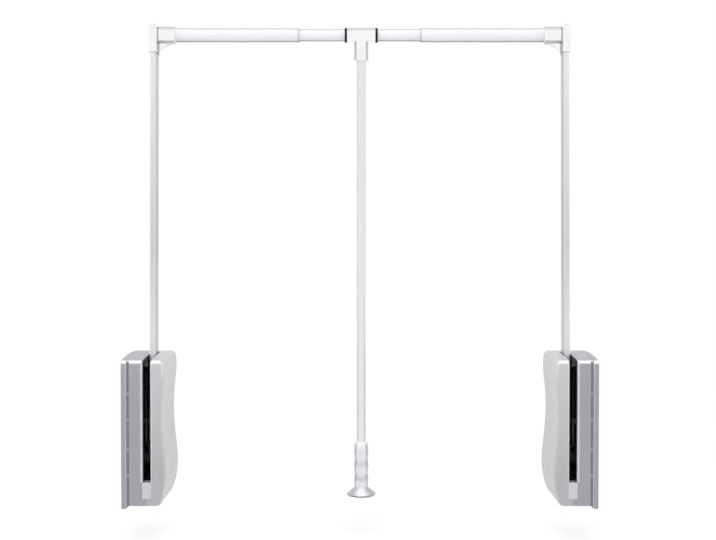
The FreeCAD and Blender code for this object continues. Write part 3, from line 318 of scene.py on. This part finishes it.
def housing_painted_highlights(s, body):
    """Painted highlights on the brow under the arched top, the upper corners, the slot's lips and the rim,
    broken up in patches.
    """
    _, y, z = s.axes()
    _, ny, nz = s.facing()
    away = s.away()
    side = s.sideways()
    # patches that break up the painted highlights
    highlight_patches = s.spread(s.noise(90.0, detail=5.0), 0.70, 1.0, 0.3, 0.6)

    brow = s.spread(s.times(ny, -1.0, nz), 0.0, 0.95, 0.12, 0.42)
    brow = s.times(brow, s.spread(nz, 0.0, 1.0, 0.24, 0.46), s.spread(side, 1.0, 0.0, 0.35, 0.65))
    body = s.mix(s.times(brow, s.spread(highlight_patches, 0.85, 1.0, 0.7, 1.0)), body, (1.0, 1.0, 1.0))

    corner = s.spread(s.times(side, ny, -1.0), 0.0, 0.7, 0.2, 0.5)
    high = s.along(z, 0.0, 1.0, CORNER_HIGHLIGHT)
    body = s.mix(s.times(corner, high, highlight_patches), body, (0.85, 0.85, 0.87))

    front = s.math("LESS_THAN", y, FRONT + FRONT_EDGES * MM)
    lips = s.most(s.band(away, OUTER_LIP, SLOT, soft=1.2), s.band(away, INNER_LIP, SLOT, soft=0.5))
    lips = s.times(lips, s.along(z, 0.0, 1.0, LIPS_START, BUMPER_TOP))
    body = s.mix(s.times(lips, front, highlight_patches), body, (0.68, 0.67, 0.70))

    rim = s.band(away, RIM, COVER_EDGE, soft=0.3)
    return s.mix(s.times(rim, front, highlight_patches, 0.6), body, (0.80, 0.80, 0.83))


def housing_groove_shade(s, body):
    """Painted shade at the bottom of the groove along the cover's edge."""
    groove = s.band(s.away(), GROOVE, COVER_EDGE, soft=0.3)
    depth = s.band(s.math("ABSOLUTE", s.axes()[1]), GROOVE_DEPTH, -FRONT, soft=0.2)
    return s.mix(s.times(groove, depth, 0.8), body, (0.15, 0.15, 0.165))


def housing_slot_shade(s, body):
    """Painted shade: the inside of the slot painted dark, a little paler at its outer side near the foot."""
    _, y, z = s.axes()
    away = s.away()
    out_of_inner_wall = s.math("GREATER_THAN", away, SLOT + OPENING[0] * MM)
    short_of_outer_wall = s.math("LESS_THAN", away, SLOT + OPENING[1] * MM)
    deep = s.band(y, SLOT_DEPTH, FRONT, soft=0.01)
    under_arch = s.math("LESS_THAN", z, CROWN + SLOT_TOP * MM)
    inside = s.times(out_of_inner_wall, short_of_outer_wall, deep, under_arch)
    near_foot = s.math("LESS_THAN", z, PALE_FOOT * MM)
    outer_side = s.math("GREATER_THAN", away, SLOT + PALE_SIDE * MM)
    dark = s.mix(s.times(near_foot, outer_side), (0.006, 0.006, 0.007), (0.035, 0.033, 0.040))
    return s.mix(inside, body, dark)


# painted light and shade on the housings, one layer after another
def housing_painted_light(s, body):
    for layer in (housing_painted_tones, housing_painted_highlights, housing_groove_shade, housing_slot_shade):
        body = layer(s, body)
    return body


def arm_painted_light(s, body):
    """Painted light on the arms: painted shade on the flanks, brighter towards both ends and painted
    highlights along the rounded edges.
    """
    z = s.axes()[2]
    ends = s.math("ADD", s.along(z, 0.0, 0.85, ARM_HEAD_FADE), s.along(z, 0.5, 0.0, ARM_FOOT_FADE))
    body = s.mix(ends, body, (0.86, 0.86, 0.88))
    body = s.mix(s.spread(s.sideways(), 0.0, 0.45, 0.90, 0.99), body, (0.34, 0.34, 0.35))
    nx, ny, _ = s.facing()
    edge = s.spread(s.math("ABSOLUTE", s.times(nx, ny)), 0.0, 0.5, 0.12, 0.40)
    return s.mix(edge, body, (0.95, 0.95, 0.96))


def rail_painted_shade(s, body):
    """Hanging rail: a painted shade line along its underside and its top."""
    nz = s.facing()[2]
    under = s.times(s.spread(nz, 1.0, 0.0, -0.96, -0.84), 0.70)
    crown = s.times(s.spread(nz, 0.0, 1.0, 0.70, 0.90), 0.85)
    return s.mix(s.most(under, crown), body, RAIL_PAINTED_SHADE)


def outer_rail_painted_shade(s, body):
    """Outer tubes of the rail: as above, with a painted shadow ring at the end that the inner tube comes out
    of.
    """
    ring = s.times(s.band(s.away(), END_RING, RAIL_END, soft=0.5), 0.45)
    return s.mix(ring, rail_painted_shade(s, body), RAIL_PAINTED_SHADE)


def casting_painted_shade(s, body):
    """Castings: painted shade on their crowns and on the T's flanks, a painted shadow line and painted shade
    underneath on the corner connectors.
    """
    away = s.away()
    nz = s.facing()[2]
    crown = s.spread(nz, 0.0, 1.0, 0.42, 0.85)
    flank = s.times(s.spread(s.sideways(), 0.0, 1.0, 0.58, 0.76), s.math("LESS_THAN", away, TEE_REACH))
    body = s.mix(s.times(s.most(crown, flank), 0.60), body, (0.36, 0.36, 0.38))
    # painted shadow line beside the socket, and painted shade underneath
    shadow_line = s.band(away, SOCKET_SHADOW_LINE, SLOT, soft=0.3)
    below = s.times(s.spread(nz, 1.0, 0.0, -0.95, -0.55), s.math("GREATER_THAN", away, TEE_REACH))
    return s.mix(s.times(s.most(shadow_line, below), 0.75), body, (0.30, 0.30, 0.32))


def foot_painted_light(s, body):
    """The grip's foot: painted highlight in front and behind, painted shade on its flanks and under its rim.
    """
    # painted highlight: the colour lifted towards white
    highlighted = s.mix(0.8, body, (1.0, 1.0, 1.0))
    flank = s.spread(s.sideways(), 0.0, 1.0, 0.16, 0.42)
    body = s.mix(flank, highlighted, (0.50, 0.50, 0.53))
    rim = s.along(s.axes()[2], 1.0, 0.0, FOOT_EDGE, FOOT_RIM)
    under = s.spread(s.facing()[2], 1.0, 0.0, 0.0, 0.35)
    return s.mix(s.times(rim, under), body, (0.30, 0.30, 0.32))


def grip_painted_light(s, body):
    """The grip: painted highlight at its upper end, painted shade where it stands upright and on its flanks.
    """
    z = s.axes()[2]
    body = s.mix(s.along(z, 0.0, 1.0, COLLAR, GRIP_TOP), body, (1.0, 1.0, 1.0))
    upright = s.within(s.facing()[2], 0.0, 0.12, soft=0.04)
    upright = s.times(upright, s.along(z, 0.45, 0.15, BULGES, GRIP_TOP))
    body = s.mix(upright, body, (0.42, 0.42, 0.45))
    flank = s.spread(s.sideways(), 0.0, 0.6, 0.58, 0.85)
    return s.mix(flank, body, (0.42, 0.42, 0.44))


# ---------------------------------------------------------------- materials and the nodes that have them
MATERIALS = {}


def finish(name, kind, colour, **look):
    MATERIALS[name] = kind(name, colour, **look)


finish("housing_plastic", moulded, (0.360, 0.352, 0.398), rough=0.38, grain=0.14, metallic=0.25, coat=0.25,
       details=housing_painted_light)
finish("bumper_plastic", moulded, (0.64, 0.61, 0.66), rough=0.42, grain=0.10)
finish("black_nylon", moulded, (0.012, 0.012, 0.013), rough=0.45, grain=0.12)
finish("ring_black", moulded, (0.004, 0.004, 0.004), rough=0.5, grain=0.05, specular=0.12)
finish("strut_black", moulded, (0.02, 0.02, 0.022), rough=0.25, grain=0.05)
finish("grip_plastic", moulded, (0.80, 0.79, 0.83), rough=0.25, grain=0.03, specular=0.5, metallic=0.7,
       coat=0.2, details=grip_painted_light)
finish("foot_plastic", moulded, (0.84, 0.83, 0.87), rough=0.28, grain=0.03, metallic=0.35, coat=0.3,
       details=foot_painted_light)
finish("arm_silver", drawn_tube, (0.63, 0.63, 0.65), along="z", rough=0.40, metallic=0.6, details=arm_painted_light)
finish("pole_silver", drawn_tube, (0.83, 0.83, 0.85), along="z", rough=0.30)
for rail_finish, shading in (("rail_silver", rail_painted_shade), ("outer_silver", outer_rail_painted_shade)):
    finish(rail_finish, drawn_tube, (0.93, 0.93, 0.95), along="x", rough=0.45, metallic=0.2, details=shading)
finish("cast_alloy", die_cast, (0.94, 0.94, 0.95), rough=0.20, details=casting_painted_shade)
finish("zinc_steel", plated, (0.52, 0.52, 0.54), rough=0.34)
finish("hub_dark", plated, (0.10, 0.10, 0.11), rough=0.45)

# Nodes whose finish isn't that of their material slot in the record
OWN_FINISH = {"pole": "pole_silver", "grip_base": "foot_plastic", "tee_bushings": "ring_black"}
for side_name in ("left", "right"):
    OWN_FINISH[side_name + "_arm_hub"] = "hub_dark"
    OWN_FINISH[side_name + "_outer_tube"] = "outer_silver"

slot_of = {part["node"]: part["material_slot"] for part in frame["record"]["subparts"]}
for node_name, node_piece in frame["nodes"].items():
    node_piece.data.materials.clear()
    node_piece.data.materials.append(MATERIALS[OWN_FINISH.get(node_name, slot_of[node_name])])


# ---------------------------------------------------------------- floor, light and camera
FLOOR_Z = -60.0 * MM           # the housings hang on walls: clear of the rail at its lowest
FLOOR_HALF = 6.0
FLOOR_GLOW = 0.75              # near the object; further away it is 1, which is white
FLOOR_FADE = (0.55, 1.15)      # distances from the object between which the floor turns white
HORIZON = 1.16                 # strength of the light from the studio's front at eye level
OVERHEAD_DROP = 0.45           # taken off towards the ceiling
BACK_SHARE = 0.30              # of the front's strength
FRONT_TO_BACK = (-0.75, 0.25)  # directions between which the front's light turns into the back's
CAMERA_PLACE = (-0.0032, -2.0725, 0.4602)
CAMERA_DIP = 1.47              # degrees below level
SENSOR_WIDTH = 36.0
LENS = 59.2
LAMPS = (                      # name, place, what it is aimed at, width, height, watts
    ("key", (-0.3, -2.4, 2.6), (0, 0, 0.4), 1.6, 0.8, 11),
    ("fill_left", (-1.9, -0.35, 0.5), (0.36, 0, 0.2), 0.9, 0.9, 15),
    ("fill_right", (1.9, -0.35, 0.5), (-0.36, 0, 0.2), 0.9, 0.9, 15),
    ("top", (0, 0.2, 2.6), (0, 0, 0.3), 1.8, 1.8, 20),
)


def floor():
    """Pale floor with the object's shadow. Seen directly or mirrored, it turns white away from the object."""
    mesh = bpy.data.meshes.new("floor")
    corners = [(x * FLOOR_HALF, y * FLOOR_HALF, 0) for x, y in ((-1, -1), (1, -1), (1, 1), (-1, 1))]
    mesh.from_pydata(corners, [], [(0, 1, 2, 3)])
    piece = bpy.data.objects.new("floor", mesh)
    bpy.context.scene.collection.objects.link(piece)
    s = Shader("floor_paint", rough=0.8, specular=0.1)
    s.colour(s.mix(s.spread(s.noise(3.0), 0, 1), (0.58, 0.58, 0.59), (0.60, 0.60, 0.61)))
    x, y, _ = s.axes()
    distance = s.math("SQRT", s.math("ADD", s.times(x, x), s.times(y, y)))
    faded = s.spread(distance, 0.0, 1.0, *FLOOR_FADE)
    paint = s.node("ShaderNodeBsdfDiffuse")
    s.feed(paint.inputs["Color"], s.mix(faded, (0.32, 0.32, 0.325), (0.0, 0.0, 0.0)))
    glow = s.node("ShaderNodeEmission")
    s.feed(glow.inputs["Strength"], s.spread(faded, FLOOR_GLOW, 1.0, 0.0, 1.0))
    shown = s.node("ShaderNodeAddShader")
    s.feed(shown.inputs[0], paint.outputs["BSDF"])
    s.feed(shown.inputs[1], glow.outputs["Emission"])
    look = s.blend(s.seen_directly(), s.surface.outputs["BSDF"], shown.outputs["Shader"])
    s.feed(s.tree.nodes["Material Output"].inputs["Surface"], look)
    mesh.materials.append(s.material)
    piece.location.z = FLOOR_Z


def lamp(name, place, target, width, height, watts):
    """A soft rectangular lamp that isn't mirrored in the object."""
    data = bpy.data.lights.new(name, "AREA")
    data.shape = "RECTANGLE"
    data.size = width
    data.size_y = height
    data.energy = watts
    piece = bpy.data.objects.new(name, data)
    bpy.context.scene.collection.objects.link(piece)
    piece.location = place
    piece.rotation_euler = (Vector(target) - Vector(place)).to_track_quat("-Z", "Y").to_euler()
    piece.visible_glossy = False


def world():
    """White to the camera and in reflections. Its light is a pale studio's, dimmer overhead and behind."""
    made = bpy.data.worlds.new("studio")
    bpy.context.scene.world = made
    made.use_nodes = True
    g = Graph(made.node_tree)
    g.tree.nodes.clear()

    direction = g.node("ShaderNodeSeparateXYZ")
    g.feed(direction.inputs["Vector"], g.node("ShaderNodeTexCoord").outputs["Generated"])
    up = g.most(direction.outputs["Z"], 0.0)
    wall = g.math("SUBTRACT", HORIZON, g.times(up, OVERHEAD_DROP))
    share = g.spread(direction.outputs["Y"], 1.0, BACK_SHARE, *FRONT_TO_BACK, interpolation_type="SMOOTHSTEP")

    studio = g.node("ShaderNodeBackground")
    g.feed(studio.inputs["Color"], (0.97, 0.97, 1.0))
    g.feed(studio.inputs["Strength"], g.times(wall, share))
    white = g.node("ShaderNodeBackground")
    g.feed(white.inputs["Color"], (1, 1, 1))
    g.feed(white.inputs["Strength"], 1.0)
    look = g.blend(g.seen_directly(), studio.outputs["Background"], white.outputs["Background"])
    g.feed(g.node("ShaderNodeOutputWorld").inputs["Surface"], look)


def camera():
    """The photograph's viewing angle."""
    data = bpy.data.cameras.new("camera")
    data.sensor_width = SENSOR_WIDTH
    data.lens = LENS
    piece = bpy.data.objects.new("camera", data)
    bpy.context.scene.collection.objects.link(piece)
    piece.location = CAMERA_PLACE
    piece.rotation_euler = (math.radians(90 - CAMERA_DIP), 0, 0)
    bpy.context.scene.camera = piece


floor()
world()
camera()
for row in LAMPS:
    lamp(*row)
bpy.context.scene.view_settings.view_transform = "Standard"
